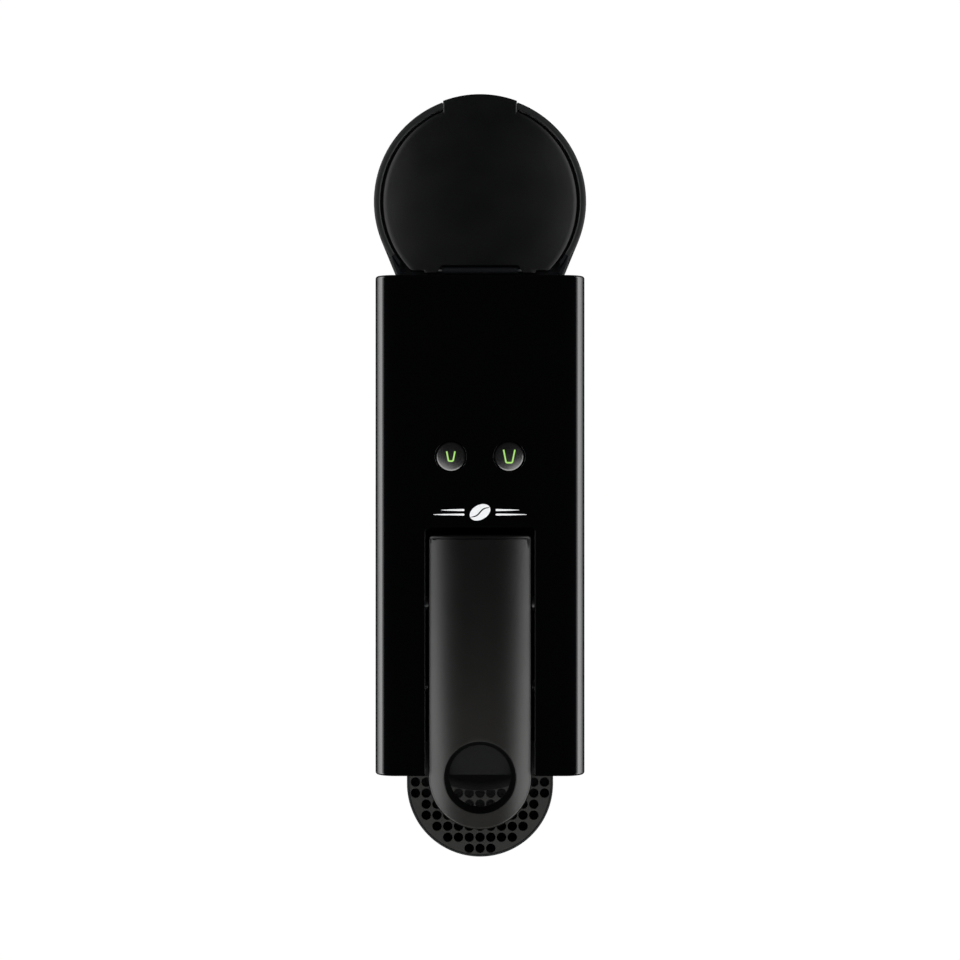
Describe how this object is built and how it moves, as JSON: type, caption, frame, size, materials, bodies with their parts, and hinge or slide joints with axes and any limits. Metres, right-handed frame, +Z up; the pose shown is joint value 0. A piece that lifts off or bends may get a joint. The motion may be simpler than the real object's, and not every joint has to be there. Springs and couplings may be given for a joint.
{
  "type": "pod coffee machine",
  "caption": "Narrow pod coffee machine: looped brew lever on top, cup buttons, outlet over a drip tray, capsule bin and a lidded water tank behind.",
  "frame": {"origin": "on the table, under the centre of the machine's outline", "axes": "+X to the right seen from the front, +Y to the rear where the water tank is, +Z up"},
  "size_m": [0.085, 0.3302, 0.204],
  "materials": {
    "gloss_black": "polished black",
    "matte_black": "fine grain",
    "lever_skin": "satin grain",
    "frame_grey": "moulded",
    "tray_grey": "fine grain",
    "smoke_tank": "smoked translucent",
    "white_plastic": "moulded",
    "steel": "bright",
    "copper_coil": "enamelled wire",
    "cast_aluminium": "as cast",
    "silicone": "satin",
    "rubber": "matte",
    "board_green": "solder resist",
    "sign_green": "lit"
  },
  "bodies": {
    "machine": {"outer_casing": "gloss_black", "front_cover": "matte_black", "throat_panel": "matte_black", "rear_cover": "matte_black", "base_chassis": "matte_black", "tank_pedestal": "matte_black", "head_deck": "frame_grey", "bulkhead": "frame_grey", "lever_well": "matte_black", "lever_pivots": "steel", "brew_frame": "frame_grey", "extraction_plate": "steel", "plate_seal": "silicone", "coffee_spout": "matte_black", "outlet_nose": "gloss_black", "pump_body": "white_plastic", "pump_coil": "copper_coil", "pump_frame": "steel", "pump_mounts": "rubber", "thermoblock": "cast_aluminium", "heater_terminals": "steel", "heater_leads": "silicone", "thermostats": "steel", "flow_meter_body": "white_plastic", "flow_meter_lid": "white_plastic", "suction_hose": "silicone", "pump_inlet_hose": "silicone", "riser_hose": "silicone", "main_board": "board_green", "board_components": "matte_black", "board_posts": "white_plastic", "button_carrier": "frame_grey", "button_board": "board_green", "tact_switches": "steel", "button_leds": "sign_green", "rubber_feet": "rubber", "screws": "steel", "cord_gland": "rubber"},
    "lever": {"lever_cover": "lever_skin", "lever_arm": "matte_black"},
    "cage": {"capsule_cage": "frame_grey", "cage_pins": "steel", "piercing_plate": "steel", "hot_hose": "silicone"},
    "tank": {"water_tank": "smoke_tank", "valve_body": "frame_grey", "tank_seat_seal": "silicone", "valve_spring": "steel", "lid_hinge_pin": "steel"},
    "lid": {"tank_lid": "matte_black"},
    "valve": {"valve_plunger": "white_plastic"},
    "large_button": {"button_large_cup": "gloss_black", "cup_light_large": "sign_green"},
    "small_button": {"button_small_cup": "gloss_black", "cup_light_small": "sign_green"},
    "bin": {"capsule_bin": "gloss_black"},
    "tray": {"drip_tray": "tray_grey"},
    "grid": {"drip_grid": "tray_grey"},
    "impeller": {"flow_impeller": "white_plastic"},
    "piston": {"pump_piston": "steel"}
  },
  "joints": [
    {"name": "brew_lever", "type": "hinge", "parent": "machine", "child": "lever", "pos_m": [0, -0.04, 0.174], "axis": [-1, 0, 0], "range_deg": [0, 90]},
    {"name": "cage_slide", "type": "slide", "parent": "machine", "child": "cage", "axis": [0, 1, 0], "range_m": [0, 0.03], "deforming": ["hot_hose"]},
    {"name": "tank_lift", "type": "slide", "parent": "machine", "child": "tank", "axis": [0, 0, 1], "range_m": [0, 0.12]},
    {"name": "lid_hinge", "type": "hinge", "parent": "tank", "child": "lid", "pos_m": [0, 0.0946, 0.1986], "axis": [1, 0, 0], "range_deg": [0, 87]},
    {"name": "tank_valve", "type": "slide", "parent": "tank", "child": "valve", "axis": [0, 0, 1], "range_m": [-0.0002, 0.0008], "stiffness_N_per_m": 300, "deforming": ["valve_spring"]},
    {"name": "large_cup_button", "type": "slide", "parent": "machine", "child": "large_button", "axis": [0, 0, -1], "range_m": [0, 0.0012], "stiffness_N_per_m": 900},
    {"name": "small_cup_button", "type": "slide", "parent": "machine", "child": "small_button", "axis": [0, 0, -1], "range_m": [0, 0.0012], "stiffness_N_per_m": 900},
    {"name": "bin_slide", "type": "slide", "parent": "machine", "child": "bin", "axis": [0, -1, 0], "range_m": [0, 0.11]},
    {"name": "tray_slide", "type": "slide", "parent": "bin", "child": "tray", "axis": [0, -1, 0], "range_m": [0, 0.09]},
    {"name": "grid_lift", "type": "slide", "parent": "tray", "child": "grid", "axis": [0, 0, 1], "range_m": [0, 0.06]},
    {"name": "impeller_spin", "type": "hinge", "parent": "machine", "child": "impeller", "pos_m": [-0.022, 0.073, 0.014], "axis": [0, 0, 1], "continuous": true},
    {"name": "pump_stroke", "type": "slide", "parent": "machine", "child": "piston", "axis": [0, 1, 0], "range_m": [-0.0015, 0.0015], "stiffness_N_per_m": 3000}
  ],
  "couplings": [
    {"joint": "cage_slide", "follows": "brew_lever", "m_per_rad": 0.019098}
  ]
}
